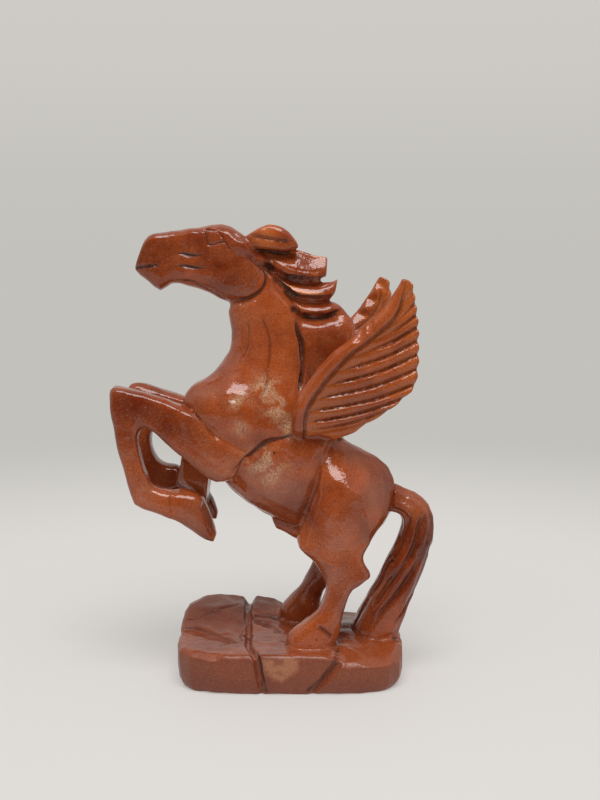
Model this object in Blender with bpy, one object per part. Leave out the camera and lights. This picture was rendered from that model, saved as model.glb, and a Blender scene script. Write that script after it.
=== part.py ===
"""Winged horse rearing on a rock, carved in red aventurine.

Run with blender --background --python part.py, or from Blender's text editor.

The scene is in metres and the sizes below are in millimetres. +X runs from the head to the
tail, +Y from the near (left) side of the horse to its far side, and +Z is up. The origin is the
middle of the base's underside.

Each carved member is a loft. A station of the loft gives two edge points of the member, as the
carver's side template shows them, and how far the member reaches across at that place. Template
points are (x, z), with z measured from the level that the hooves stand on, and they take their
scale from the horse's height. A member's root is let into a socket in its neighbour, which follows
the root at the width of a cement line.
"""

import math
from collections import namedtuple

import bmesh
import bpy
from mathutils import Vector

MM = 0.001

# Cement line between two members
SEAT_GAP = 0.3

# Rock base
BASE_LENGTH = 79.5
BASE_DEPTH = 54.0
BASE_HEIGHT = 14.0
BASE_UNDERCUT = 1.4
BASE_END_UNDERCUT = 1.8
BASE_SHOULDER = 1.8
CRACK_WIDTH = 3.0
CRACK_DEPTH = 2.5
HOOF_SOCKET = 3.0

# Horse, from the hooves to the top of the head. The templates are drawn for 145.5 mm.
HORSE_HEIGHT = 145.5
TEMPLATE_SCALE = HORSE_HEIGHT / 145.5

# Widths across the horse
BARREL_WIDTH = 29.0
CHEST_WIDTH = 31.0
HEAD_WIDTH = 17.0
HIP_WIDTH = 34.0
HIND_LEG_WIDTH = 11.5
HIND_HOOF_SPACING = 30.0
FORELEG_WIDTH = 11.0
FORELEG_SPACING = 19.0
FORELEG_WEB_INSET = 1.0
MANE_WIDTH = 12.0
EAR_WIDTH = 6.0
EAR_SPACING = 9.0
TAIL_WIDTH = 18.0
TAIL_STRANDS = 9
STRAND_DEPTH = 0.9
SHEATH_WIDTH = 7.0

# Wings
FEATHERS = 12
WING_ROOT_SPREAD = 28.0
WING_TIP_SPREAD = 46.0
WING_TENON = 5.0
WING_BAR_THICKNESS = 6.5
VANE_THICKNESS = 3.0
FEATHER_RISE = 0.6
FEATHER_SCALLOP = 0.7
VANE_HOLLOW = 1.4
WING_TIP_TAPER = 0.5
FAR_WING_ADVANCE = 4.5
# How far a feather bows down between the bar and its tip, as a share of its length.
FEATHER_BOW = 0.04
# Above 1 the feathers crowd towards the root of the wing, below 1 towards its tip.
BAR_CROWDING = 1.7
EDGE_CROWDING = 0.6

NEAR, FAR = -1, 1

# Side templates: two edge points of the member, then its share of the width named above.
HEAD = (
    ((-50.8, 139.0), (-53.9, 130.0), 0.42),
    ((-48.5, 141.6), (-52.0, 127.6), 0.58),
    ((-45.5, 142.5), (-49.0, 125.5), 0.63),
    ((-42.5, 142.7), (-45.0, 122.5), 0.64),
    ((-38.0, 143.5), (-41.0, 125.0), 0.62),
    ((-31.0, 144.5), (-35.5, 124.0), 0.70),
    ((-23.5, 145.5), (-28.5, 122.0), 0.88),
    ((-18.5, 143.5), (-21.5, 118.5), 1.00),
    ((-14.5, 140.5), (-13.5, 119.0), 1.00),
    ((-11.5, 136.0), (-8.5, 125.0), 0.70),
)
NECK_AND_CHEST = (
    ((-18.0, 136.0), (-9.5, 138.0), 0.36),
    ((-20.0, 122.5), (-5.5, 132.7), 0.42),
    ((-21.5, 115.0), (0.2, 124.0), 0.46),
    ((-20.5, 108.5), (4.8, 114.0), 0.49),
    ((-21.5, 101.5), (6.8, 103.5), 0.55),
    ((-26.5, 94.5), (8.0, 94.0), 0.69),
    ((-33.0, 89.0), (9.0, 84.0), 0.90),
    ((-37.5, 84.5), (8.5, 76.0), 1.00),
    ((-36.0, 79.0), (4.5, 71.3), 1.00),
    ((-30.0, 73.0), (-4.0, 69.0), 0.90),
    ((-23.0, 67.5), (-12.5, 66.5), 0.70),
)
BARREL = (
    ((-5.0, 90.0), (-24.0, 56.0), 0.84),
    ((3.5, 88.5), (-20.5, 52.5), 0.97),
    ((10.5, 84.0), (-15.0, 47.5), 1.00),
    ((15.5, 78.0), (-7.0, 43.0), 0.97),
    ((19.5, 69.5), (0.5, 40.0), 0.84),
    ((24.5, 63.0), (7.5, 39.5), 0.68),
    ((28.0, 57.0), (16.0, 41.5), 0.50),
)
SHEATH = (
    ((-7.0, 43.5), (-5.0, 38.0), 0.60),
    ((-1.0, 43.0), (-1.0, 36.0), 0.90),
    ((5.0, 42.0), (4.0, 33.5), 1.00),
    ((11.0, 40.0), (9.0, 32.5), 0.90),
)
NEAR_FORELEG = (
    ((-14.5, 67.3), (-20.0, 57.5), 0.80),
    ((-22.0, 72.5), (-25.5, 56.5), 1.00),
    ((-30.5, 78.6), (-30.0, 59.5), 1.00),
    ((-38.0, 83.5), (-35.5, 64.0), 1.00),
    ((-46.0, 86.7), (-40.5, 68.0), 1.00),
    ((-54.5, 89.0), (-45.5, 73.0), 0.98),
    ((-60.5, 90.0), (-49.0, 75.5), 0.96),
    ((-62.0, 87.0), (-51.0, 75.0), 0.96),
    ((-61.5, 79.0), (-52.5, 72.0), 0.96),
    ((-59.5, 68.5), (-51.5, 65.5), 0.94),
    ((-56.5, 58.0), (-49.0, 58.5), 0.92),
    ((-54.0, 49.0), (-47.0, 55.0), 0.92),
    ((-47.5, 46.0), (-41.0, 53.5), 0.92),
    ((-40.5, 43.5), (-34.5, 53.5), 0.96),
    ((-34.5, 40.0), (-30.0, 51.0), 1.00),
    ((-29.5, 36.5), (-27.0, 43.0), 0.92),
    ((-26.5, 35.5), (-25.5, 38.0), 0.60),
)
FAR_FORELEG = (
    ((-14.5, 69.0), (-21.0, 57.0), 0.80),
    ((-22.5, 74.5), (-26.0, 56.0), 1.00),
    ((-31.5, 81.5), (-30.5, 59.0), 1.00),
    ((-40.0, 85.0), (-35.0, 62.5), 1.00),
    ((-48.5, 88.0), (-42.0, 66.5), 1.00),
    ((-54.5, 89.5), (-47.0, 70.5), 0.98),
    ((-57.8, 88.5), (-49.0, 72.0), 0.96),
    ((-58.3, 84.5), (-50.0, 70.5), 0.96),
    ((-57.5, 75.5), (-50.0, 66.5), 0.94),
    ((-55.5, 63.0), (-48.0, 61.5), 0.92),
    ((-52.0, 50.0), (-44.5, 59.5), 0.92),
    ((-45.5, 45.5), (-41.0, 59.5), 0.94),
    ((-40.0, 43.5), (-36.5, 56.0), 0.96),
    ((-34.5, 41.5), (-31.5, 51.0), 1.00),
    ((-29.5, 40.0), (-28.0, 47.5), 0.92),
    ((-26.8, 39.5), (-26.3, 42.5), 0.60),
)
# Stone that is left between the far foreleg's two halves, up to the near foreleg.
FORELEG_WEB = (
    ((-38.6, 64.5), (-39.2, 54.5), 0.80),
    ((-35.0, 64.5), (-36.0, 52.0), 0.95),
    ((-31.0, 62.0), (-32.5, 47.0), 1.00),
    ((-28.6, 59.0), (-29.6, 45.0), 0.85),
)
HIP = (
    ((8.5, 74.0), (15.0, 73.5), 0.48),
    ((7.5, 70.0), (18.7, 70.2), 0.62),
    ((7.0, 64.0), (26.7, 64.7), 0.78),
    ((7.0, 57.5), (34.0, 60.0), 0.92),
    ((6.0, 51.0), (36.2, 52.0), 1.00),
    ((4.0, 44.5), (35.5, 44.5), 1.00),
    ((2.3, 38.5), (31.5, 38.5), 1.00),
)
# A hind shank adds how far it has moved out, from 0 at the hip to 1 at the hoof.
NEAR_SHANK = (
    ((3.0, 34.0), (27.0, 34.0), 0.74, 1.00),
    ((7.0, 30.5), (25.5, 30.5), 0.80, 0.98),
    ((10.0, 27.0), (26.5, 27.5), 0.84, 0.94),
    ((12.0, 22.0), (28.0, 24.0), 0.89, 0.90),
    ((12.0, 18.0), (22.0, 20.0), 0.93, 0.88),
    ((9.5, 12.5), (19.5, 15.0), 0.97, 0.90),
    ((4.0, 8.0), (18.0, 8.5), 1.00, 0.96),
    ((-0.3, 4.4), (17.0, 4.0), 1.00, 1.00),
    ((-1.5, 0.8), (15.5, 0.0), 1.00, 1.00),
    ((-1.0, -HOOF_SOCKET), (14.5, -HOOF_SOCKET), 1.00, 0.94),
)
FAR_SHANK = (
    ((3.0, 34.0), (27.0, 34.0), 0.74, 1.00),
    ((7.0, 29.5), (25.5, 30.0), 0.80, 0.98),
    ((8.6, 24.6), (26.0, 26.0), 0.84, 0.94),
    ((6.6, 19.5), (23.5, 21.5), 0.89, 0.90),
    ((4.4, 14.5), (16.0, 16.0), 0.93, 0.88),
    ((2.0, 11.3), (12.5, 11.5), 0.97, 0.90),
    ((-1.5, 7.5), (11.5, 7.0), 1.00, 0.96),
    ((-4.0, 4.5), (11.5, 3.5), 1.00, 1.00),
    ((-4.2, 1.5), (11.0, 0.0), 1.00, 1.00),
    ((-3.5, -HOOF_SOCKET), (10.0, -HOOF_SOCKET), 1.00, 0.94),
)
TAIL = (
    ((31.0, 55.0), (31.0, 45.0), 0.45),
    ((38.5, 53.1), (38.0, 43.5), 0.52),
    ((44.5, 51.0), (39.5, 42.0), 0.62),
    ((49.6, 46.5), (39.5, 39.0), 0.74),
    ((51.5, 39.0), (38.0, 34.5), 0.84),
    ((49.5, 29.0), (33.5, 25.0), 0.92),
    ((46.0, 19.0), (29.5, 17.0), 0.96),
    ((42.3, 10.0), (26.0, 10.5), 1.00),
    ((39.5, 2.0), (23.5, 3.5), 1.00),
    ((38.0, -HOOF_SOCKET), (23.5, -HOOF_SOCKET), 0.96),
)
EAR = (
    ((-16.0, 140.5), (-15.5, 138.0), 0.50),
    ((-12.0, 143.0), (-11.0, 137.0), 0.85),
    ((-7.5, 145.5), (-6.0, 136.5), 1.00),
    ((-2.5, 144.5), (-1.5, 136.0), 0.95),
    ((1.0, 141.0), (2.0, 137.0), 0.75),
    ((2.7, 138.5), (3.0, 137.0), 0.40),
)
MANE_LOCK_1 = (
    ((-11.0, 139.5), (-9.5, 135.0), 0.80),
    ((-3.5, 137.5), (-5.0, 130.3), 1.00),
    ((3.5, 136.5), (0.5, 126.3), 1.00),
    ((8.5, 134.7), (6.5, 125.4), 0.90),
    ((13.0, 134.0), (12.5, 127.3), 0.70),
)
MANE_LOCK_2 = (
    ((-8.0, 132.5), (-7.0, 128.0), 0.85),
    ((-1.5, 127.5), (-1.0, 121.8), 1.00),
    ((3.5, 126.3), (4.0, 119.2), 1.00),
    ((9.5, 125.5), (9.5, 118.6), 0.95),
    ((14.5, 125.5), (14.5, 119.8), 0.80),
    ((17.0, 127.0), (16.0, 123.0), 0.45),
)
MANE_LOCK_3 = (
    ((-2.5, 124.0), (-1.0, 120.5), 0.85),
    ((3.0, 119.7), (3.5, 115.0), 1.00),
    ((8.5, 119.0), (8.5, 114.0), 1.00),
    ((15.5, 118.5), (14.5, 114.0), 0.85),
    ((19.0, 115.7), (18.0, 113.7), 0.50),
)
MANE_PANEL = (
    ((1.0, 114.0), (19.5, 115.0), 0.80),
    ((1.5, 109.0), (23.3, 109.5), 0.95),
    ((2.3, 102.0), (21.5, 102.0), 1.00),
    ((2.3, 93.5), (18.5, 91.5), 1.00),
    ((1.0, 84.5), (14.0, 82.0), 0.85),
)

# Wing templates, from the root to the tip: leading edge, back of the bar, and trailing edge.
WING_LEADING = (
    (0.0, 73.0), (1.0, 82.5), (4.0, 89.5), (9.5, 97.5), (16.0, 104.0),
    (24.0, 110.0), (30.0, 116.0), (34.0, 122.0), (37.0, 127.0),
)
WING_BAR_BACK = (
    (5.0, 72.0), (6.0, 82.0), (9.0, 88.0), (14.0, 94.5), (20.0, 101.0),
    (27.0, 106.5), (33.0, 111.5), (36.7, 117.0), (38.7, 126.7),
)
WING_TRAILING = (
    (12.0, 70.0), (17.0, 71.5), (27.8, 78.4), (40.0, 88.2), (42.6, 94.0),
    (43.0, 104.0), (42.2, 113.5), (40.8, 123.5), (40.0, 126.2),
)

# Boulders on the rock: place along and across and size as shares of the base's length, and rise as
# a share of its height.
BOULDERS = (
    (-0.300, 0.280, 0.175, 0.44),
    (-0.103, 0.290, 0.103, 0.32),
    (-0.450, 0.205, 0.145, 0.30),
    (0.248, -0.340, 0.062, -0.22),
    (0.433, -0.310, 0.145, -0.20),
)
# Cracks in the rock, as shares of its length and height on the front, and of its length and depth
# on the top.
FRONT_CRACK = ((-0.144, 1.3), (-0.132, 0.5), (-0.113, -0.3))
SLANTING_CRACK = ((0.278, 1.2), (0.183, 0.6), (0.063, -0.2))
TOP_CRACK = ((-0.138, -0.54), (-0.183, -0.28), (-0.189, 0.04), (-0.193, 0.28), (-0.195, 0.54))

# Which members are let into each piece.
LET_IN = {
    "rock_base": ("near_hindquarter", "far_hindquarter", "tail"),
    "barrel": (
        "neck_and_chest", "mane_panel", "near_foreleg", "far_foreleg",
        "near_hindquarter", "far_hindquarter", "near_wing", "far_wing",
    ),
    "neck_and_chest": (
        "head", "near_ear", "far_ear", "mane_lock_1", "mane_lock_2", "mane_lock_3", "mane_panel",
        "near_foreleg", "far_foreleg", "near_wing", "far_wing",
    ),
    "near_hindquarter": ("tail", "near_wing"),
    "far_hindquarter": ("tail", "far_wing"),
    "head": ("near_ear", "far_ear"),
    "mane_lock_1": ("near_ear", "far_ear", "head"),
    "mane_lock_2": ("mane_lock_1", "head"),
    "mane_lock_3": ("mane_lock_2",),
    "mane_panel": ("mane_lock_3",),
}

STONE_COLOUR = (0.33, 0.085, 0.028, 1.0)
STONE_ROUGHNESS = 0.22

Station = namedtuple("Station", "a b middle outer inner")


def clear_scene():
    for old in list(bpy.data.objects):
        bpy.data.objects.remove(old, do_unlink=True)


def polished_stone(name):
    material = bpy.data.materials.new(name)
    material.use_nodes = True
    shader = material.node_tree.nodes["Principled BSDF"]
    shader.inputs["Base Color"].default_value = STONE_COLOUR
    shader.inputs["Roughness"].default_value = STONE_ROUGHNESS
    shader.inputs["Metallic"].default_value = 0.0
    return material


def catmull_rom(points, steps):
    """Points of a smooth curve through rows of numbers, with that many steps to a span."""
    rows = [Vector(p) for p in points]
    rows = [2 * rows[0] - rows[1], *rows, 2 * rows[-1] - rows[-2]]
    curve = []
    for p0, p1, p2, p3 in zip(rows, rows[1:], rows[2:], rows[3:]):
        for step in range(steps):
            t = step / steps
            curve.append(
                0.5 * (2 * p1 + (p2 - p0) * t + (2 * p0 - 5 * p1 + 4 * p2 - p3) * t**2
                       + (3 * p1 - p0 - 3 * p2 + p3) * t**3)
            )
    curve.append(rows[-2])
    return curve


def points_along(points, shares, steps=8):
    """Points at those shares of the length of the smooth curve through points, in rising order."""
    curve = catmull_rom(points, steps)
    lengths = [0.0]
    for p, q in zip(curve, curve[1:]):
        lengths.append(lengths[-1] + (q - p).length)
    found, span = [], 0
    for wanted in shares:
        target = lengths[-1] * wanted
        while span < len(curve) - 2 and lengths[span + 1] < target:
            span += 1
        share = (target - lengths[span]) / (lengths[span + 1] - lengths[span])
        found.append(curve[span].lerp(curve[span + 1], share))
    return found


def smooth_stations(stations, steps):
    """The stations with others between them, on smooth curves."""
    flat = [(*s.a, *s.b, s.middle, s.outer, s.inner) for s in stations]
    return [
        Station((r[0], r[1]), (r[2], r[3]), r[4], max(r[5], 0.0), max(r[6], 0.0))
        for r in catmull_rom(flat, steps)
    ]


def rounded(value, power):
    """A sine or cosine pushed towards a square, for a superellipse."""
    return math.copysign(abs(value) ** (2 / power), value)


def placed(template_point, y):
    """Where a template point lies in the scene, so far across from the middle plane."""
    flat = Vector(template_point) * TEMPLATE_SCALE
    return Vector((flat.x, y, flat.y + BASE_HEIGHT)) * MM


def section(station, side, segments, power, strands, wall):
    """One closed ring of a loft. Its outer half faces the given side of the horse.

    No point of the ring is further in than the wall.
    """
    a, b = Vector(station.a), Vector(station.b)
    centre, reach = (a + b) / 2, (b - a) / 2
    ring = []
    for k in range(segments):
        turn = 2 * math.pi * (k + 0.5) / segments
        along, across = rounded(math.cos(turn), power), rounded(math.sin(turn), power)
        half = station.outer if across > 0 else station.inner
        if strands:
            groove = STRAND_DEPTH * (1 - abs(math.cos(turn * strands / 2)))
            along *= 1 - groove / reach.length
            across *= 1 - groove / half
        flat = centre + reach * along
        y = side * max(station.middle + half * across, wall)
        ring.append(placed(flat, y))
    return ring


def solid(name, rings):
    """An object whose surface runs through closed rings, with a cap at each end."""
    shape = bmesh.new()
    loops = [[shape.verts.new(point) for point in ring] for ring in rings]
    for lower, upper in zip(loops, loops[1:]):
        for k in range(len(lower)):
            after = (k + 1) % len(lower)
            shape.faces.new((lower[k], lower[after], upper[after], upper[k]))
    shape.faces.new(reversed(loops[0]))
    shape.faces.new(loops[-1])
    bmesh.ops.recalc_face_normals(shape, faces=shape.faces)
    bmesh.ops.triangulate(shape, faces=shape.faces)
    mesh = bpy.data.meshes.new(name)
    shape.to_mesh(mesh)
    shape.free()
    mesh.shade_smooth()
    mesh.set_sharp_from_angle(angle=math.radians(50))
    piece = bpy.data.objects.new(name, mesh)
    piece.data.materials.append(polished_stone(name))
    bpy.context.scene.collection.objects.link(piece)
    return piece


def loft(name, stations, side=NEAR, segments=20, power=2.6, strands=0, wall=-math.inf):
    rings = [
        section(s, side, segments, power, strands, wall) for s in smooth_stations(stations, 2)
    ]
    return solid(name, rings)


def centred(template, width):
    """Stations of a member that is the same on both sides of the horse."""
    return [Station(a, b, 0.0, share * width / 2, share * width / 2) for a, b, share in template]


def offset(template, width, spacing):
    """Stations of one of a pair of members, whose middles are the spacing apart."""
    return [
        Station(a, b, spacing / 2, share * width / 2, share * width / 2)
        for a, b, share in template
    ]


def hindquarter_stations(shank):
    """Half of the hips, flat against the other half, running down into one leg."""
    stations = [Station(a, b, SEAT_GAP / 2, share * HIP_WIDTH / 2, 0.0) for a, b, share in HIP]
    for front, back, spread, share in shank:
        half = share * HIND_LEG_WIDTH / 2
        stations.append(Station(front, back, spread * HIND_HOOF_SPACING / 2, half, half))
    return stations


def foreleg_web():
    """The web that closes the bend of the far foreleg, as far as the inner face of the near one."""
    far_face = (FORELEG_SPACING + FORELEG_WIDTH) / 2 - FORELEG_WEB_INSET
    near_face = (FORELEG_WIDTH - FORELEG_SPACING) / 2 + SEAT_GAP
    middle, half = (far_face + near_face) / 2, (far_face - near_face) / 2
    stations = [Station(a, b, middle, share * half, half) for a, b, share in FORELEG_WEB]
    return as_cutter(loft("foreleg_web", stations, FAR, segments=12, power=4.0))


def wing(name, side, advance):
    """A bar along the leading edge and a hollowed vane of feathers behind it."""
    rows = 2 * FEATHERS + 1
    shares = [row / (rows - 1) for row in range(rows)]
    leading = points_along(WING_LEADING, [share**BAR_CROWDING for share in shares])
    back = points_along(WING_BAR_BACK, [share**BAR_CROWDING for share in shares])
    trailing = points_along(WING_TRAILING, [share**EDGE_CROWDING for share in shares])
    rings = []
    for row, share in enumerate(shares):
        crown = row % 2
        spread = WING_ROOT_SPREAD + (WING_TIP_SPREAD - WING_ROOT_SPREAD) * share**0.7
        middle = spread / 2 - WING_TENON * max(0.0, 1 - share * FEATHERS / 2)
        edge = trailing[row] + (trailing[row] - back[row]).normalized() * FEATHER_SCALLOP * crown
        feather = edge - back[row]
        bow = Vector((feather.y, -feather.x)) * FEATHER_BOW
        taper = 1 - WING_TIP_TAPER * share**6
        bar, vane = taper * WING_BAR_THICKNESS / 2, taper * VANE_THICKNESS / 2
        lift = FEATHER_RISE * crown
        profile = [
            (leading[row].lerp(back[row], 0.30), 0.85 * bar, 0.0),
            (leading[row].lerp(back[row], 0.70), bar, 0.0),
            (back[row], vane, 0.5 * VANE_HOLLOW),
            (back[row] + feather * 0.30 + bow * 0.8, vane + 0.5 * lift, VANE_HOLLOW),
            (back[row] + feather * 0.65 + bow, vane + lift, 0.7 * VANE_HOLLOW),
            (edge, 0.5 * vane + lift, 0.0),
        ]
        outer = [(p, middle - sink + half) for p, half, sink in profile]
        inner = [(p, middle - sink - half) for p, half, sink in reversed(profile)]
        ring = [(leading[row], middle), *outer, *inner]
        rings.append([placed((p.x - advance, p.y), side * y) for p, y in ring])
    return solid(name, rings)


def rock_relief(x, y):
    """Height of the rock's top above the hoof level."""
    return BASE_HEIGHT * sum(
        rise * math.exp(-((x / BASE_LENGTH - along) ** 2 + (y / BASE_LENGTH - across) ** 2) / size**2)
        for along, across, size, rise in BOULDERS
    )


def rock_ring(end_inset, side_inset, height, segments=40, power=4.6):
    """A ring of the base, so far in from its plan outline. Height is a number or a function."""
    ring = []
    for k in range(segments):
        along, across = math.cos(2 * math.pi * k / segments), math.sin(2 * math.pi * k / segments)
        reach = (abs(along) ** power + abs(across) ** power) ** (-1 / power)
        x = reach * along * (BASE_LENGTH / 2 - end_inset)
        y = reach * across * (BASE_DEPTH / 2 - side_inset)
        z = height if isinstance(height, float) else height(x, y)
        ring.append(Vector((x, y, z)) * MM)
    return ring


def rock_base():
    """A slab of rock with a rounded under-edge and an uneven top."""
    def top(x, y):
        return BASE_HEIGHT + rock_relief(x, y)

    def shoulder(x, y):
        return top(x, y) - BASE_SHOULDER

    rings = [
        rock_ring(BASE_END_UNDERCUT, BASE_UNDERCUT, 0.0),
        rock_ring(0.35 * BASE_END_UNDERCUT, 0.35 * BASE_UNDERCUT, 0.14 * BASE_HEIGHT),
        rock_ring(0.1 * BASE_END_UNDERCUT, 0.0, 0.36 * BASE_HEIGHT),
        rock_ring(0.0, 0.0, shoulder),
    ]
    for inset, drop in ((0.4, 0.3), (1.0, 0.0)):
        inset *= BASE_SHOULDER
        rings.append(rock_ring(inset, inset, lambda x, y: top(x, y) - drop * BASE_SHOULDER))
    for share in (0.2, 0.36, 0.48):
        rings.append(rock_ring(share * BASE_DEPTH, share * BASE_DEPTH, top))
    return solid("rock_base", rings)


def crack(name, path, inward):
    """A V-shaped cutter along a path on the rock's surface. Inward points into the rock."""
    inward = Vector(inward)
    rings = []
    for k, point in enumerate(path):
        here = Vector(point)
        run = Vector(path[min(k + 1, len(path) - 1)]) - Vector(path[max(k - 1, 0)])
        sideways = run.cross(inward).normalized() * CRACK_WIDTH / 2
        rim = here - inward * CRACK_DEPTH
        rings.append(
            [p * MM for p in (rim - 2 * sideways, rim + 2 * sideways, here + inward * CRACK_DEPTH)]
        )
    cutter = solid(name, rings)
    return as_cutter(cutter)


def as_cutter(piece):
    piece.hide_render = True
    piece.display_type = "WIRE"
    return piece


def cut(piece, cutter, operation="DIFFERENCE"):
    change = piece.modifiers.new(cutter.name, "BOOLEAN")
    change.operation = operation
    change.object = cutter
    change.solver = "EXACT"


def socket_cutter(piece):
    """A copy of a member, larger all round by the cement line, that cuts its socket."""
    copy = bpy.data.objects.new("socket_of_" + piece.name, piece.data.copy())
    bpy.context.scene.collection.objects.link(copy)
    grow = copy.modifiers.new("cement_line", "DISPLACE")
    grow.strength = SEAT_GAP * MM
    grow.mid_level = 0.0
    return as_cutter(copy)


def crack_rock(base):
    """Cracks down the front of the rock and across its top."""
    for name, path in (("front_crack", FRONT_CRACK), ("slanting_crack", SLANTING_CRACK)):
        on_front = [(x * BASE_LENGTH, -BASE_DEPTH / 2, z * BASE_HEIGHT) for x, z in path]
        cut(base, crack(name, on_front, (0, 1, 0)))
    on_top = []
    for along, across in TOP_CRACK:
        x, y = along * BASE_LENGTH, across * BASE_DEPTH
        on_top.append((x, y, BASE_HEIGHT + rock_relief(x, y)))
    cut(base, crack("top_crack", on_top, (0, 0, -1)))


def main():
    clear_scene()
    base = rock_base()
    barrel = loft("barrel", centred(BARREL, BARREL_WIDTH), segments=24, power=2.4)
    sheath = as_cutter(loft("sheath", centred(SHEATH, SHEATH_WIDTH), segments=10))
    cut(barrel, sheath, "UNION")
    loft("neck_and_chest", centred(NECK_AND_CHEST, CHEST_WIDTH), segments=24, power=2.4)
    loft("head", centred(HEAD, HEAD_WIDTH), power=2.8)
    for name, side, template in (
        ("near_foreleg", NEAR, NEAR_FORELEG),
        ("far_foreleg", FAR, FAR_FORELEG),
    ):
        loft(name, offset(template, FORELEG_WIDTH, FORELEG_SPACING), side, segments=14, power=3.2)
    cut(bpy.data.objects["far_foreleg"], foreleg_web(), "UNION")
    for name, side, shank in (
        ("near_hindquarter", NEAR, NEAR_SHANK),
        ("far_hindquarter", FAR, FAR_SHANK),
    ):
        loft(name, hindquarter_stations(shank), side, segments=18, power=2.6, wall=SEAT_GAP / 2)
    loft("tail", centred(TAIL, TAIL_WIDTH), segments=4 * TAIL_STRANDS, strands=TAIL_STRANDS)
    loft("mane_lock_1", centred(MANE_LOCK_1, MANE_WIDTH), segments=12)
    loft("mane_lock_2", centred(MANE_LOCK_2, MANE_WIDTH), segments=12)
    loft("mane_lock_3", centred(MANE_LOCK_3, MANE_WIDTH), segments=12)
    loft("mane_panel", centred(MANE_PANEL, MANE_WIDTH), segments=16, power=3.2)
    loft("near_ear", offset(EAR, EAR_WIDTH, EAR_SPACING), NEAR, segments=12)
    loft("far_ear", offset(EAR, EAR_WIDTH, EAR_SPACING), FAR, segments=12)
    wing("near_wing", NEAR, 0.0)
    wing("far_wing", FAR, FAR_WING_ADVANCE)
    crack_rock(base)
    let_in = sorted({name for names in LET_IN.values() for name in names})
    cutters = {name: socket_cutter(bpy.data.objects[name]) for name in let_in}
    for name, members in LET_IN.items():
        for member in members:
            cut(bpy.data.objects[name], cutters[member])


main()
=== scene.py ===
"""Looks of a winged horse carved in red aventurine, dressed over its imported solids.

The real carving is one block, so the solids are closed over their cement lines into one skin. The
skin is polished, cut with the lines of the carver's wheel, and parted again into one closed piece
for each solid. Named lengths are in millimetres, and the scene is in metres.

+X runs from the head to the tail, +Y from the near side to the far side, and +Z is up. A line on
the horse is drawn on the side template, as points (x, z), and is cut on one side or on both.
"""

import math
from collections import namedtuple

import bmesh
import bpy
import numpy as np
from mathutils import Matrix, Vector
from mathutils.bvhtree import BVHTree
from mathutils.kdtree import KDTree


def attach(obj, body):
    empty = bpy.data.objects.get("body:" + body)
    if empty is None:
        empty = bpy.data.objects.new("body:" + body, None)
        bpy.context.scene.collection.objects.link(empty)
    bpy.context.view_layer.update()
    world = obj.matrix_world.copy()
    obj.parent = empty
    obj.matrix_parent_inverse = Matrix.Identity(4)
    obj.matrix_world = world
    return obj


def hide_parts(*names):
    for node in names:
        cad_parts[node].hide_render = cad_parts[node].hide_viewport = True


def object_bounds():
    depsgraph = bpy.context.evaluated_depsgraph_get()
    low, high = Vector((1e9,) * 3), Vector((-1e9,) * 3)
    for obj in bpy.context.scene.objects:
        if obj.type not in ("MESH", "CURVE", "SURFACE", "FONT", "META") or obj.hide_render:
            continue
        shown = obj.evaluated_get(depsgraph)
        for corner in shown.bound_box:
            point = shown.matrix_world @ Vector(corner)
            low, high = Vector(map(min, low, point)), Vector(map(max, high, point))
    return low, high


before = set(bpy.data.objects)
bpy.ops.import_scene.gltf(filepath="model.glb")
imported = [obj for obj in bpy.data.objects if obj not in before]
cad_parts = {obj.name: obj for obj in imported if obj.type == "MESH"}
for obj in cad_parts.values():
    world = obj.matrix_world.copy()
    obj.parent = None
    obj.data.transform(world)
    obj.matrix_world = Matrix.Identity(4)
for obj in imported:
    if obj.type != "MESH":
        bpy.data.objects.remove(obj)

CAD_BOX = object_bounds()
MM = 0.001

# Skin
WELD = 0.001
CLOSING = 0.25
VOXEL = 0.42
CURVE_STEP = 0.5
# A round of polish pushes the points in by this share of what sticks out, and then back out.
PUSH_IN = 0.5
PUSH_OUT = 0.52
POLISH_ROUNDS = 6
ROUND_POLISH = 40
FINISH_ROUNDS = 3
# Grooves: the step along a line, how deep and wide it still is at its ends, the curve of its walls,
# and how far the painted shade in it spreads, in half widths.
GROOVE_STEP = 0.3
GROOVE_END_DEPTH = 0.05
GROOVE_END_WIDTH = 0.4
GROOVE_WALL_CURVE = 1.2
SHADE_SPREAD = 1.2
# A flat runs out over this length, and a roof over so many squares, from this weight up.
FACET_RUN_OUT = 2.0
LEAN_SMOOTHING = 3
LEAN_LEAST = 0.01
LEAN_CURVE = 1.2
# The web between the forelegs is rubbed round: place, radius and strength.
WEB_SPOTS = (((-38, 3, 70), 8.0, 1.0),)
WEB_RUB = 45
# Borders between the pieces are evened out so many times. The wall under a border goes this share of
# the way through the stone, measured by a ray that starts just under the surface.
BORDER_SMOOTHING = 4
RAY_START = 0.05
SEAM_WALL = 0.45
WALL_SMOOTHING = 6
# The cap that closes the walls stays buried this deep. Where samples along its edges don't, they are
# split, so many times and down to this length. Its faces are marked with a number meanwhile.
BURIED = 0.5
CAP_SAMPLES = (0.1, 0.3, 0.5, 0.7, 0.9)
CAP_SPLITS = 7
CAP_EDGE = 0.3
CAP = 1

NEAR, TOP, FAR = -1, 0, 1
BOTH = (NEAR, FAR)

# A groove is cut where its points meet the first of its nodes, seen from that side. Points are
# (x, z), or (x, y) for a groove that is cut from the top. It fades out over the given share of its
# length at each end. On the right of its run, it may slope up over a wider stretch. The mark is how
# dark the painted shade in it is.
Groove = namedtuple("Groove", "nodes points width depth sides fade slope mark",
                    defaults=(BOTH, 0.15, 0.0, 1.0))
# A flat that the wheel ground on some nodes: its middle, how far it may reach, the way it faces, how
# much it takes off the highest point, and how softly it meets what is around it.
Facet = namedtuple("Facet", "nodes centre reach facing bite soft sides", defaults=(0.1, (NEAR,)))
# A muscle that swells out of the stone, on both sides.
Swell = namedtuple("Swell", "centre radius rise")
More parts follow.
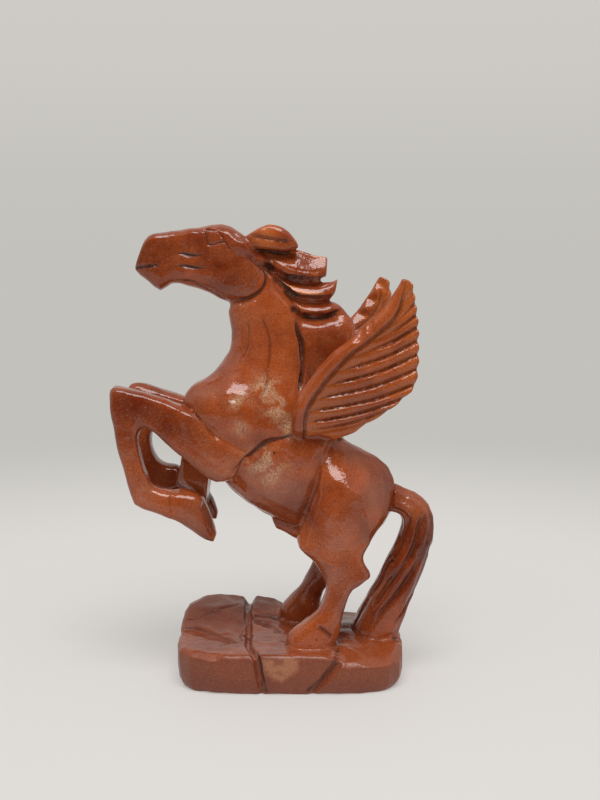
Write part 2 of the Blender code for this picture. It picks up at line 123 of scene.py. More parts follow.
# A stretch below an outline where some nodes lean in towards the middle plane, like a roof: how far
# down it goes, and by what share the width narrows at the outline. Below zero, it squares them.
Lean = namedtuple("Lean", "nodes outline height share")

FACE = ("head",)
EARS = ("near_ear", "far_ear")
NECK = ("neck_and_chest",)
BARREL = ("barrel",)
UPPER_LOCK = ("mane_lock_1",)
MIDDLE_LOCK = ("mane_lock_2",)
LOWER_LOCK = ("mane_lock_3",)
PANEL = ("mane_panel",)
MANE = UPPER_LOCK + MIDDLE_LOCK + LOWER_LOCK + PANEL + FACE + NECK
FAR_FORELEG = ("far_foreleg",)
FORELEGS = ("near_foreleg",) + FAR_FORELEG
NEAR_HIP = ("near_hindquarter",)
HIPS = NEAR_HIP + ("far_hindquarter",)
NEAR_WING = ("near_wing",)
FAR_WING = ("far_wing",)
WINGS = NEAR_WING + FAR_WING
TAIL = ("tail",)
ROCK = ("rock_base",)
TRUNK = BARREL + NECK + FORELEGS
THIGHS = BARREL + HIPS
ROUND_MEMBERS = BARREL + NECK + HIPS

# Slots between the ear, the locks of the mane and the panel below them, and the other deep cuts.
DEEP_GROOVES = (
    Groove(MANE, ((-13, 150.9), (-9.5, 150.2), (-5.4, 149.5), (-1.3, 149.7), (2.5, 150.5)), 1.6, 1.6,
           slope=4.5),
    Groove(MANE, ((-9.5, 148.3), (-7.2, 145.8), (-4.4, 143.5), (-1, 141.9), (2.8, 140.9), (7.3, 140.6),
                  (11.1, 141.2), (13.6, 142.2)), 2, 2.6, slope=5.4),
    Groove(MANE, ((-6.1, 143), (-3.7, 139.9), (-0.6, 136.8), (2.8, 134.7), (7.6, 134.1), (12.5, 134.4),
                  (15.7, 135.2)), 2, 2.6, slope=4.8),
    Groove(MANE, ((0.1, 132.7), (2.1, 129.9), (4.9, 128.2), (8.3, 127.2), (12.5, 127.9), (16.6, 129.5),
                  (19, 130.8)), 2, 2.2, slope=3.2),
    Groove(MANE, ((-11.2, 147.2), (-7.8, 144.5), (-4.4, 141), (-2, 137.5), (0.1, 134.1), (2.1, 130.3)),
           1.8, 1.4),
    Groove(NECK, ((2.1, 128), (2.9, 123), (4.2, 118), (4.6, 111), (4.2, 106.7), (3.2, 101)), 2.4, 2.2),
    Groove(TRUNK, ((-21.5, 72.5), (-18.4, 76.2), (-16, 79), (-13, 81.7), (-9.5, 84.5), (-6.8, 85.9),
                   (-2.3, 86.9), (2.8, 88), (7, 87.3)), 1.5, 1.5, slope=3.4, fade=0.3),
    Groove(THIGHS, ((10, 83.5), (10.4, 79), (10.4, 74), (9, 68.5), (7, 63.1), (4.9, 57.2), (3.3, 53)),
           1.3, 1.2, slope=3.4, mark=0.55),
    Groove(FACE, ((-54.5, 144.1), (-49.4, 144.7), (-45, 145.4)), 1.5, 1.8, BOTH, 0.03),
    Groove(FACE + NECK, ((-21, 133.2), (-17.1, 133.7), (-14.7, 134.1), (-11.9, 135.5), (-9.5, 137.5),
                         (-8.2, 140.3), (-8.8, 144), (-11.2, 145.7), (-13.6, 147.7), (-15.9, 150.1)),
           1.5, 1.7, slope=3.4, mark=0.9),
    Groove(TAIL, ((48.7, 60.1), (45.6, 54.6), (43.9, 47.7), (41.4, 42.4), (36.9, 37), (31.8, 29.5),
                  (27.6, 22.3)), 3, 1.7, mark=0.5),
    Groove(TAIL, ((50.1, 55.9), (48.5, 49.3), (45.7, 42.3), (41.5, 35.2), (37, 29.2), (32.4, 23.9),
                  (28.9, 17.9)), 3, 1.7, mark=0.5),
    Groove(TAIL, ((42.9, 59.1), (40.5, 52.5), (38.1, 46.1), (34.7, 39.6), (31.2, 32.4), (27.8, 27)),
           3, 1.7, mark=0.5),
    Groove(TAIL, ((50.5, 49), (48.5, 40), (44.8, 31), (40.5, 24), (36, 17.5)), 2.6, 1.3, mark=0.5),
    Groove(ROCK, ((-11.5, 14.5), (-10.3, 12), (-9.5, 7), (-7.7, 0.5)), 1.7, 0.9, (NEAR,), 0.05),
    Groove(ROCK, ((5.5, 0.8), (10.6, 5.9), (14, 10.1), (18, 15)), 1.7, 0.9, (NEAR,), 0.05),
    Groove(ROCK, ((-38.5, 5), (-33, 7.5), (-27.8, 10.2), (-22, 14), (-17, 18)),
           1.4, 0.9, (TOP,), mark=0.4),
    Groove(ROCK, ((-16.3, 25), (-16, 10), (-17, 2), (-18, -5), (-16.5, -11)),
           1.4, 1.0, (TOP,), 0.05, 4, 0.5),
    Groove(ROCK, ((-17.2, -5.2), (-15.4, -4.1), (-13.2, -4.9)), 2.2, 1.2, (TOP,)),
    Groove(ROCK, ((30, -8.5), (35, -7), (40, -6.5)), 1.6, 1.3, (TOP,), 0.1, 4, 0.7),
    Groove(ROCK, ((-40.5, 1), (-34.5, 1.6), (-28.8, -1.8), (-23.1, -6.7), (-18, -12)),
           1.4, 1.3, (TOP,), 0.05, 6, 0.4),
    Groove(ROCK, ((-16.1, 10.6), (-7.6, 12.4), (0, 11)), 1.4, 0.9, (TOP,), 0.1, 3, 0.6),
    Groove(ROCK, ((-14.5, 9.8), (-7.5, 5.9), (-2.6, -1.9)), 1.4, 0.9, (TOP,), 0.1, 3, 0.6),
)
# Flats on the rock, the forelegs, the head, the bars of the wings, the croup and the tail.
TO_LIGHT = (-0.05, -0.80, 0.60)
TO_EDGE_OF_LIGHT = (-0.10, -0.87, 0.48)
FACETS = (
    Facet(ROCK, (-25, 6, 17), 13, (0.08, -0.40, 0.9), 1.0),
    Facet(ROCK, (-34, 6, 16), 12, (-0.35, -0.30, 0.88), 1.0),
    Facet(ROCK, (-23, 17, 20), 11, (0.35, -0.25, 0.9), 0.9),
    Facet(ROCK, (-33, 19, 20), 11, (-0.35, 0.05, 0.93), 0.8),
    Facet(ROCK, (-8, 20, 17), 10, (-0.1, -0.45, 0.88), 0.9),
    Facet(ROCK, (-33, -22, 12), 11, (-0.12, -0.6, 0.8), 0.9, 0.3),
    Facet(ROCK, (33, -20, 11), 12, (0.2, -0.5, 0.84), 1.1, 0.3),
    Facet(ROCK, (37, -14, 10), 10, (0.7, -0.35, 0.62), 1.0, 0.3),
    Facet(ROCK, (23, -24, 11), 8, (-0.3, -0.55, 0.78), 1.2, 0.5),
    Facet(FORELEGS, (-27, -9.5, 54), 12, (0.86, -0.42, 0.28), 1.4, 0.1, BOTH),
    Facet(FACE, (-47, -5, 148), 13, (-0.06, -0.99, 0.1), 0.5, 0.2, BOTH),
    Facet(FACE, (-20, -8, 142), 13, (0.0, -1.0, 0.04), 0.5, 0.2, BOTH),
    Facet(FACE, (-50, 0, 148), 12, (-0.93, 0, 0.36), 0.4),
    Facet(FACE, (-16.5, -4, 157), 5, (0.25, -0.78, 0.58), 0.6, 0.3, BOTH),
    Facet(FORELEGS, (-34, -15, 83), 22, (0.0, -1.0, 0.03), 0.5, 0.4, BOTH),
    Facet(FORELEGS, (-56, -15, 84), 22, (0.0, -1.0, 0.0), 0.5, 0.4, BOTH),
    Facet(FAR_FORELEG, (-38, -3, 72), 6, (-0.7, -0.7, 0.15), 1.2, 0.8),
    Facet(FAR_FORELEG, (-38, -3, 66), 6, (-0.5, -0.6, -0.6), 1.0, 0.8),
    Facet(WINGS, (21.8, -20, 120.4), 6, TO_LIGHT, 1.9, 0.3, BOTH),
    Facet(NEAR_WING, (25.5, -21, 123.7), 4.5, TO_LIGHT, 1.5, 0.2),
    Facet(FAR_WING, (24, 18.8, 124), 6.5, TO_EDGE_OF_LIGHT, 1.6, 0.2),
    Facet(FAR_WING, (27.2, 19.4, 129.5), 6.5, TO_EDGE_OF_LIGHT, 1.6, 0.2),
    Facet(FAR_WING, (30.4, 20.6, 135.5), 6, TO_EDGE_OF_LIGHT, 1.4, 0.2),
    Facet(HIPS, (19.5, -14, 76), 6, TO_LIGHT, 0.8, 0.5, BOTH),
    Facet(TAIL, (43.6, -4.5, 62.3), 5, TO_LIGHT, 0.7, 0.3, BOTH),
)
LEANS = (
    Lean(FACE, ((-48.5, 155.6), (-42.5, 156.7), (-31, 158.5), (-23.5, 159.5), (-18.5, 157.5),
                (-14.5, 154.5)), 7, -0.4),
    Lean(UPPER_LOCK, ((-11, 153.5), (-3.5, 151.5), (3.5, 150.5), (8.5, 148.7), (13, 148)), 8.5, 0.9),
    Lean(MIDDLE_LOCK, ((-8, 146.5), (-1.5, 141.5), (3.5, 140.3), (9.5, 139.5), (14.5, 139.5), (17, 141)),
         6.5, 0.5),
    Lean(LOWER_LOCK, ((-2.5, 138), (3, 133.7), (8.5, 133), (15.5, 132.5), (19, 129.7)), 5.5, 0.5),
    Lean(PANEL, ((1, 128.5), (19.5, 129.2), (23.5, 124)), 7, 0.5),
    Lean(HIPS, ((8.5, 88), (15, 87.5), (18.7, 84.2), (26.7, 78.7), (34, 74), (36.2, 66)), 12, 0.55),
    Lean(TAIL, ((31, 69), (38.5, 67.1), (44.5, 65), (49.6, 60.5), (51.5, 53)), 6, 0.45),
)
SWELLS = (
    Swell((-29, 12, 97), 6.0, 0.7), Swell((-19.5, 14, 97), 5.5, 0.9), Swell((-33, 12, 90), 6.0, 0.6),
    Swell((-32, 6, 101), 5.5, 1.8), Swell((28, 4, 77), 7.0, 1.2), Swell((35, 4, 68), 6.0, 1.0),
    Swell((21, 4, 13.5), 7.0, 2.0), Swell((-38, 2.5, 69.5), 4.0, 1.8),
)
# Lines of the wheel on the face, neck, chest and legs.
FINE_GROOVES = (
    Groove(FACE, ((-40.6, 145), (-36.3, 145), (-31.8, 144.3), (-27.4, 144.5)), 1.7, 0.9, fade=0.4),
    Groove(FACE, ((-40.6, 149.4), (-37.3, 149.3), (-33.5, 148.6), (-28.4, 149)), 1.7, 0.9, fade=0.4),
    Groove(FACE, ((-43.5, 147.4), (-41.8, 148.1), (-40.1, 149.4)), 1, 0.3, mark=0.4),
    Groove(FACE, ((-29.2, 157.4), (-28.5, 154.8), (-27.7, 152)), 1.1, 0.6, BOTH, 0.05, mark=0.6),
    Groove(FACE, ((-24.8, 157.2), (-22.6, 154.4), (-20.3, 150.7)), 1.1, 0.6, BOTH, 0.05, mark=0.6),
    Groove(FACE, ((-27.8, 152.1), (-25.6, 152.5), (-23.4, 153.2), (-21.4, 152.9)),
           1.1, 0.6, BOTH, 0.05, mark=0.6),
    Groove(FACE, ((-29.2, 157.4), (-27.2, 157.4), (-24.8, 157.2)), 1.1, 0.6, BOTH, 0.05, mark=0.6),
    Groove(FACE, ((-40, 140.2), (-34.4, 139.9), (-31, 138.2), (-27.6, 136.4), (-23.8, 134.4),
                  (-20.7, 133)), 1.4, 0.6, mark=0.7),
    Groove(FACE, ((-13.5, 146.4), (-12.9, 143), (-13.6, 140.3), (-15.3, 137.9), (-18.8, 136.9)),
           1.6, 0.25, mark=0.1),
    Groove(EARS, ((-13.6, 155.6), (-9.5, 154.9), (-6, 154.2), (-1.6, 153.5), (0.8, 153.9)), 1.8, 1.3,
           slope=3.2, mark=0.5),
    Groove(UPPER_LOCK, ((-6.1, 147.4), (-2.3, 145.4), (2.1, 143.7), (7.6, 143), (12.5, 143.3)),
           1.2, 0.35, mark=0.2),
    Groove(UPPER_LOCK, ((-3.4, 147.8), (0.8, 146.4), (5.6, 145.7), (11.1, 146)), 1.2, 0.35, mark=0.2),
    Groove(MIDDLE_LOCK, ((-3.4, 141.3), (0.8, 138.5), (5.6, 137.5), (11.1, 137.8), (15.6, 139.2)),
           1.2, 0.35, mark=0.3),
    Groove(LOWER_LOCK, ((2.1, 132.7), (5.6, 130.7), (9.7, 130.3), (13.9, 131.3)), 1.2, 0.35, mark=0.3),
    Groove(NECK, ((-14.4, 127.3), (-14, 119.7), (-15.1, 115.7), (-16.8, 111.9)), 1.2, 0.4, mark=0.5),
    Groove(NECK, ((-10.6, 130.4), (-8.9, 125.9), (-7.1, 120.5), (-6.8, 115.7), (-7.5, 109.7),
                  (-8.1, 104.7), (-9.4, 100.4), (-10.8, 97.1)), 1.1, 0.6, mark=0.6),
    Groove(NECK, ((-20, 102), (-18.3, 98.7), (-16.9, 93.7), (-15.9, 88.9), (-13.6, 86)),
           4.5, 0.8, mark=0.1),
    Groove(NECK, ((-29.2, 102.7), (-26.5, 99.3)), 1, 0.4, mark=0.2),
    Groove(FORELEGS, ((-36.7, 96.6), (-31.1, 92.6), (-27.3, 88.7), (-23.9, 85.9)), 2.4, 0.7, mark=0.4),
    Groove(FORELEGS, ((-41.6, 66.7), (-41.2, 63.4), (-40.9, 60.3)), 1.2, 0.5, (NEAR,), mark=0.4),
    Groove(FAR_FORELEG, ((-49.8, 66.7), (-44.5, 64.9), (-38.6, 67.6), (-36.5, 70.9), (-36.9, 74)),
           1.2, 0.5, (NEAR,), mark=0.5),
    Groove(NEAR_HIP, ((9.3, 22.5), (12.1, 20.4), (14.9, 17.6)), 1.8, 0.8, (NEAR,), mark=0.7),
)

# Wings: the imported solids' own templates, from the root to the tip.
FEATHERS = 12
BAR_CROWDING = 1.7
EDGE_CROWDING = 0.6
FEATHER_BOW = 0.04
# The line beside a feather bows at these shares of its run, by these shares of the bow.
FEATHER_VIA = ((0.3, 0.8), (0.65, 1.0))
FEATHER_RIDGE = 0.7
FEATHER_CURVE = 2.5
FEATHER_ROOM = 3.0
FEATHER_GROOVE = 0.7
FEATHER_GROOVE_WIDTH = 1.1
# How dark the painted shade in the lines between the feathers is.
FEATHER_SHADE = 0.8
VANE_START = 5.0
# Where the wing turns edge-on, its relief fades by this gain to this share.
FACING_GAIN = 2
EDGE_SCALLOP = 0.15
BAR_GROOVE = 1.1
BAR_GROOVE_WIDTH = 1.6
TIP_FADE = 8.0
ROOT_FADE = 6.0
FAR_WING_ADVANCE = 4.5
WING_BAR_BACK = (
    (5, 86), (6, 96), (9, 102), (14, 108.5), (20, 115), (27, 120.5), (33, 125.5), (36.7, 131),
    (38.7, 140.7),
)
WING_TRAILING = (
    (12, 84), (17, 85.5), (27.8, 92.4), (40, 102.2), (42.6, 108), (43, 118), (42.2, 127.5),
    (40.8, 137.5), (40, 140.2),
)

# Unevenness that the wheel and the polish leave
WAVES = 14
WAVE_LENGTHS = (5.0, 14.0)
WAVE_HEIGHT = 0.10
SEED = 11

# Stone
ORANGE = (0.385, 0.077, 0.017, 1)
RED_BROWN = (0.225, 0.036, 0.009, 1)
# A deeper red of the stone, also used as painted shade.
DEEP_RED_AND_SHADE = (0.115, 0.013, 0.003, 1)
# A painted glow, as if light came through thin stone.
PAINTED_GLOW = (0.50, 0.12, 0.022, 1)
# A painted reflection of the pale floor, a milky haze.
PAINTED_REFLECTION = (0.34, 0.125, 0.075, 1)
TAN = (0.54, 0.33, 0.195, 1)
ROCK_BROWN = (0.19, 0.047, 0.022, 1)
CHIP_COLOUR = (0.42, 0.165, 0.078, 1)
# Pale flecks in the stone, partly painted glints of its mica.
PALE_FLECK_AND_GLINT = (0.60, 0.27, 0.11, 1)
PEPPER = (0.10, 0.020, 0.006, 1)
# Dark pits, and also the painted shade in the grooves.
PIT_AND_GROOVE_SHADE = (0.040, 0.011, 0.005, 1)
# Cloudy textures: the size of the clouds, their detail and how bent they are, and the range of the
# noise that is spread over a range of shares.
Clouds = namedtuple("Clouds", "size detail bend low high to_low to_high", defaults=(0.0, 1.0))
TONES = Clouds(22, 5, 0.6, 0.36, 0.64)
MOTTLE = Clouds(9, 6, 0.0, 0.3, 0.6, 0.55, 1.0)
STREAKS = Clouds(6, 8, 0.8, 0.38, 0.60)
CRUMBS = Clouds(0.6, 3, 0.0, 0.36, 0.6, 0.25, 1.0)
FLAKES = Clouds(3.5, 4, 0.0, 0.36, 0.52, 0.25, 0.85)
GRAIN = Clouds(0.5, 4, 0.0, 0.3, 0.7, 0.80, 1.14)
GLOSS = Clouds(5, 4, 0.0, 0.3, 0.7, 0.08, 0.17)
# Scattered specks: how far apart they are, the shares of that where they begin and end to fade, and
# how strong they are.
Specks = namedtuple("Specks", "spacing full end strength")
# Pale flecks, partly painted glints.
FLECKS_AND_GLINTS = Specks(1.4, 0.10, 0.24, 0.18)
PEPPERING = Specks(0.9, 0.14, 0.30, 0.4)
PITS = Specks(13, 0.025, 0.04, 0.9)
# Fine relief in the polish: its size and detail, and its height.
RIPPLES = (3.2, 2)
RIPPLE_HEIGHT = 0.24
GRIT = (0.9, 3)
GRIT_HEIGHT = 0.05
VEIN_SHARE = 0.06
PALE_RANGE = (0.05, 1.0)
# The grooves are painted darker with shade, by up to this share.
GROOVE_SHADE_SHARE = 0.85
CUT_RANGE = (0.1, 1.0)
CUT_ROUGHNESS = 0.5
# The rock is duller and browner, least so where it faces up.
ROCK_SHARE = 0.75
ROCK_DULLNESS = 1.3
ROCK_TOP_POLISH = 0.8
DULL_ROUGHNESS = 0.42
# A painted glow stands for light that comes through stone thinner than about this length.
LIGHT_REACH = 4.0
THIN_SMOOTHING = 6
PAINTED_GLOW_RANGE = (0.25, 0.75)
# Where the stone pales, where it is a deeper red and partly painted shade, where a painted reflection
# makes it hazy and where a painted glow lights it: place, radius and strength, on both sides.
PALE_PATCHES = (
    ((-17.4, 14, 99.5), 4.5, 0.8), ((-8, 13, 103.5), 5.5, 1.0), ((-3.9, 13, 97.4), 5.5, 1.0),
    ((0.1, 13, 90.2), 4.5, 0.9), ((-17, 15, 90), 3.5, 0.7), ((-8, 15, 77), 9.0, 0.8),
)
# Patches of deeper red: partly the stone's own tone, partly painted shade, as in the rock's hollow under
# the tail.
DEEP_RED_AND_SHADE_PATCHES = (
    ((-22, 8, 143), 10.0, 1.0), ((-47, 5, 148), 11.0, 0.8), ((46, 4, 44), 17.0, 1.0),
    ((-33, 5, 152), 8.0, 0.4), ((-29, 12, 58), 9.0, 0.9),
    ((-54, 14, 96), 10.0, 0.7), ((-38, 15, 88), 11.0, 0.8),
    ((12, 5, 113), 9.0, 0.5), ((6, 14, 60), 7.0, 0.5), ((21, 4, 14), 8.0, 0.9),
)
# Patches of painted reflection, where the pale floor would be mirrored.
PAINTED_REFLECTION_PATCHES = (
    ((-29.6, 12, 102), 5.0, 0.45), ((-5, 14, 69), 9.0, 0.6), ((16, 17, 50), 9.0, 0.5),
    ((17, 13, 37), 9.0, 0.65), ((30, 15, 64), 7.0, 0.55), ((-58, 14, 80), 7.0, 0.35),
    ((-50, 14, 68), 7.0, 0.45), ((-32, 14, 58), 6.0, 0.4), ((-25.6, 14, 76), 6.0, 0.5),
    ((-17, 8, 127), 6.0, 0.4), ((-21, 8, 112), 7.0, 0.3), ((43, 5, 63), 5.0, 0.5),
)
# Patches where a painted glow is added, as if light came through the stone.
PAINTED_GLOW_PATCHES = (
    ((-8, 5, 155), 8.0, 0.6), ((10, 3, 147), 8.0, 0.4), ((14, 3, 137), 7.0, 0.35),
    ((17, 19, 113), 9.0, 0.42), ((31, 22, 130), 10.0, 0.45),
)
# A pale chip in the front of the rock, as points (x, z).
CHIP = ((-9.4, 12.3), (-3.3, 13.4), (2.8, 12.4), (2.8, 9.1), (-2.6, 4.9), (-8, 7.4))
CHIP_FRONT = -20.0
CHIP_EDGE = 1.6

# Studio, in metres
FLOOR = (0.76, 0.738, 0.716, 1)
FLOOR_FAR = (0.73, 0.707, 0.680, 1)
HORIZON = (0.546, 0.533, 0.503, 1)
BACKDROP_TOP = (0.62, 0.60, 0.57, 1)
FADE_FROM_OBJECT = (0.06, 0.24, 0.45, 1.0)
FADE_TO_HORIZON = (0.13, 0.60)
FLOOR_REACH = 6.0
FLOOR_ROUGHNESS = 0.6
FLOOR_SHEEN = 0.2
# The world's colour goes from the horizon to the top up to this height of a direction.
BACKDROP_RISE = 0.22
# The curtain's half width, height and distance
CURTAIN_SIZE = (0.9, 0.62, 0.40)
CURTAIN = (0.02, 0.02, 0.02, 1)
CURTAIN_ROUGHNESS = 0.9
AMBIENT = (1.0, 0.99, 0.97, 1)
AMBIENT_STRENGTH = 0.45
SOFTBOX_PLACE = (0.02, -0.38, 0.82)
SOFTBOX_TARGET = (0, 0, 0.08)
SOFTBOX_SIZE = (0.55, 0.42)
SOFTBOX_POWER = 5.2
CAMERA_PLACE = (0.0035, -0.42, 0.1474)
# The camera looks down by so many degrees, through a lens and on a sensor in millimetres.
CAMERA_TILT = 6.7
LENS = 54
SENSOR = 36


def smooth_curve(points, step):
    """Points of a smooth curve through rows of numbers, about one step apart."""
    rows = np.array(points, float)
    rows = np.vstack((2 * rows[0] - rows[1], rows, 2 * rows[-1] - rows[-2]))
    curve = []
    for p0, p1, p2, p3 in zip(rows, rows[1:], rows[2:], rows[3:]):
        steps = max(2, int(np.linalg.norm(p2 - p1) / step))
        for t in np.arange(steps) / steps:
            curve.append(
                0.5 * (2 * p1 + (p2 - p0) * t + (2 * p0 - 5 * p1 + 4 * p2 - p3) * t**2
                       + (3 * p1 - p0 - 3 * p2 + p3) * t**3)
            )
    curve.append(rows[-2])
    return np.array(curve)


def at_shares(curve, shares):
    """Points at those shares of a curve's length."""
    lengths = np.concatenate(((0.0,), np.cumsum(np.linalg.norm(np.diff(curve, axis=0), axis=1))))
    return np.stack([np.interp(np.array(shares) * lengths[-1], lengths, c) for c in curve.T], axis=1)


class Solids:
    """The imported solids, for finding which one a place belongs to and where a line lies on it."""

    def __init__(self):
        self.names = sorted(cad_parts)
        self.trees = {}
        points, faces, owners = [], [], []
        for index, name in enumerate(self.names):
            shape = bmesh.new()
            shape.from_mesh(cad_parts[name].data)
            bmesh.ops.remove_doubles(shape, verts=shape.verts, dist=WELD * MM)
            self.trees[name] = BVHTree.FromBMesh(shape)
            start = len(points)
            points += [tuple(v.co) for v in shape.verts]
            faces += [[start + v.index for v in f.verts] for f in shape.faces]
            owners += [index] * len(shape.faces)
            shape.free()
        self.mesh = bpy.data.meshes.new("packed_solids")
        self.mesh.from_pydata(points, [], faces)
        self.tree = BVHTree.FromPolygons(points, faces)
        self.owners = owners

    def owners_of(self, skin):
        """The number of the solid that each point of a skin lies nearest to."""
        return np.array([self.owners[self.tree.find_nearest(p)[2]] for p in skin.points * MM])

    def among(self, owners, names):
        """Which owners are among the named solids."""
        return np.isin(owners, [self.names.index(name) for name in names])

    def meeting(self, names, point, side):
        """Where a groove's point meets the first of the named solids, seen from that side."""
        towards = Vector((0, -side, 0)) if side else Vector((0, 0, -1))
        start = Vector((point[0] * MM, side, point[1] * MM))
        if side == TOP:
            start = Vector((point[0] * MM, point[1] * MM, 1))
        found = [self.trees[name].ray_cast(start, towards) for name in names]
        found = [(distance, place) for place, _, _, distance in found if place is not None]
        return min(found, key=lambda hit: hit[0])[1] if found else None


class Skin:
    """A closed surface of small squares."""

    def __init__(self, mesh):
        self.points = np.empty(3 * len(mesh.vertices))
        mesh.vertices.foreach_get("co", self.points)
        self.points = self.points.reshape(-1, 3) / MM
        self.quads = np.empty(len(mesh.loops), int)
        mesh.loops.foreach_get("vertex_index", self.quads)
        self.quads = self.quads.reshape(-1, 4)
        self.edges = np.empty(2 * len(mesh.edges), int)
        mesh.edges.foreach_get("vertices", self.edges)
        self.edges = self.edges.reshape(-1, 2)
        # How much painted shade the grooves put on each point.
        self.cut = np.zeros(len(self.points))
        # How much painted glow each point gets where the stone is thin.
        self.painted_glow = np.zeros(len(self.points))
        self.dull = np.zeros(len(self.points))

    def around(self, values):
        """The mean of each point's neighbours."""
        a, b = self.edges.T
        size = len(self.points)
        count = np.bincount(self.edges.ravel(), minlength=size)
        columns = values.reshape(size, -1).T
        means = [(np.bincount(a, c[b], size) + np.bincount(b, c[a], size)) / count for c in columns]
        return np.stack(means, axis=1).reshape(values.shape)

    def evened(self, values, rounds):
        """Values at the points, evened out so many times."""
        for _ in range(rounds):
            values = self.around(values)
        return values

    def polish(self, rounds, weight=1.0, back=PUSH_OUT):
        """Evens out the surface where the weight is above zero. Pushed back, it doesn't shrink."""
        for _ in range(rounds):
            for push in (PUSH_IN, -back):
                self.points += push * weight * (self.around(self.points) - self.points)

    def normals(self):
        a, b, c, d = (self.points[self.quads[:, k]] for k in range(4))
        across = np.cross(c - a, d - b)
        size = len(self.points)
        total = np.zeros((size, 3))
        for k in range(4):
            for axis in range(3):
                total[:, axis] += np.bincount(self.quads[:, k], across[:, axis], size)
        return total / np.maximum(np.linalg.norm(total, axis=1), 1e-12)[:, None]

    def sink(self, depth):
        """Moves each point in by its depth."""
        self.points -= self.normals() * depth[:, None]

    def thickness(self, normals, tree):
        """How thick the stone is under each point."""
        starts = self.points - RAY_START * normals
        found = [tree.ray_cast(Vector(p), Vector(-n))[3] for p, n in zip(starts, normals)]
        return np.array([distance or 0.0 for distance in found])

    def mesh(self, name):
        made = bpy.data.meshes.new(name)
        made.from_pydata(self.points * MM, [], self.quads)
        return made


def placed(name, data):
    """A new object in the scene."""
    thing = bpy.data.objects.new(name, data)
    bpy.context.scene.collection.objects.link(thing)
    return thing


def voxel_skin(mesh, grow):
    """The outer surface of a mesh as a skin of small squares, first grown to close narrow gaps."""
    working = placed("working_skin", mesh)
    if grow:
        closing = working.modifiers.new("closing", "DISPLACE")
        closing.strength = grow * MM
        closing.mid_level = 0.0
    squares = working.modifiers.new("squares", "REMESH")
    squares.mode = "VOXEL"
    squares.voxel_size = VOXEL * MM
    shown = working.evaluated_get(bpy.context.evaluated_depsgraph_get())
    skin = Skin(shown.data)
    bpy.data.objects.remove(working)
    return skin


def point_tree(points):
    """A tree for finding the nearest of some points."""
    tree = KDTree(len(points))
    for index, point in enumerate(points):
        tree.insert(point, index)
    tree.balance()
    return tree


def carve_groove(skin, solids, groove, depth):
    """Deepens the cuts by one groove, and marks the skin with painted shade along it."""
    curve = smooth_curve(groove.points, GROOVE_STEP)
    for side in groove.sides:
        places = [solids.meeting(groove.nodes, p, side) for p in curve]
        line = np.array([tuple(p / MM) for p in places if p is not None])
        tree = point_tree(line)
        half = groove.width / 2
        wide = max(half, groove.slope)
        low, high = line.min(0) - wide, line.max(0) + wide
        close = np.flatnonzero(((skin.points > low) & (skin.points < high)).all(1))
        if not len(close):
            continue
        nearest, away = np.array([tree.find(p)[1:] for p in skin.points[close]]).T
        nearest = nearest.astype(int)
        run = np.gradient(line, axis=0)[nearest]
        towards = (0, -side, 0) if side else (0, 0, -1)
        on_right = np.cross(run, skin.points[close] - line[nearest]) @ np.array(towards) > 0
        along = nearest / (len(line) - 1)
        ends = np.clip(np.minimum(along, 1 - along) / groove.fade, GROOVE_END_DEPTH, 1)
        narrowing = GROOVE_END_WIDTH + (1 - GROOVE_END_WIDTH) * ends
        reach = np.where(on_right, wide, half) * narrowing
        wall = np.clip(1 - away / reach, 0, 1) ** GROOVE_WALL_CURVE
        depth[close] = np.maximum(depth[close], groove.depth * ends * wall)
        # Painted shade: points near the groove are marked to be coloured darker.
        painted_groove_shade = groove.mark * ends * np.clip(SHADE_SPREAD - away / half, 0, 1)
        skin.cut[close] = np.maximum(skin.cut[close], painted_groove_shade)


def carve(skin, solids, grooves):
    """Cuts all grooves at once, so that they don't deepen each other where they cross."""
    depth = np.zeros(len(skin.points))
    for groove in grooves:
        carve_groove(skin, solids, groove, depth)
    skin.sink(depth)


def flatten(skin, owners, solids, facet):
    """Grinds one flat, which runs out towards the end of its reach."""
    for side in facet.sides:
        mirror = np.array((1, -side, 1))
        centre, facing = np.array(facet.centre) * mirror, np.array(facet.facing) * mirror
        facing = facing / np.linalg.norm(facing)
        away = np.linalg.norm(skin.points - centre, axis=1)
        chosen = np.flatnonzero(solids.among(owners, facet.nodes) & (away < facet.reach))
        height = skin.points[chosen] @ facing
        above = height - height.max() + facet.bite
        over = (above + np.sqrt(above**2 + facet.soft**2)) / 2
        over *= np.clip((facet.reach - away[chosen]) / FACET_RUN_OUT, 0, 1)
        skin.points[chosen] -= over[:, None] * facing


def lean(skin, owners, solids, roof):
    """Leans some nodes in towards the middle plane, most at their outline."""
    weight = skin.evened(solids.among(owners, roof.nodes).astype(float), LEAN_SMOOTHING)
    chosen = np.flatnonzero(weight > LEAN_LEAST)
    below = -beside(skin.points[chosen][:, (0, 2)], smooth_curve(roof.outline, CURVE_STEP))
    rise = np.clip(1 - below / roof.height, 0, 1) ** LEAN_CURVE
    skin.points[chosen, 1] *= 1 - roof.share * weight[chosen] * rise


def swell(skin, muscle):
    """Raises one muscle on both sides."""
    away = np.linalg.norm(unfolded(skin.points) - muscle.centre, axis=1)
    skin.sink(-muscle.rise * np.exp(-((away / muscle.radius) ** 2)))


def unfolded(points):
    """Points of both sides brought to the far side."""
    return np.stack((points[:, 0], np.abs(points[:, 1]), points[:, 2]), axis=1)


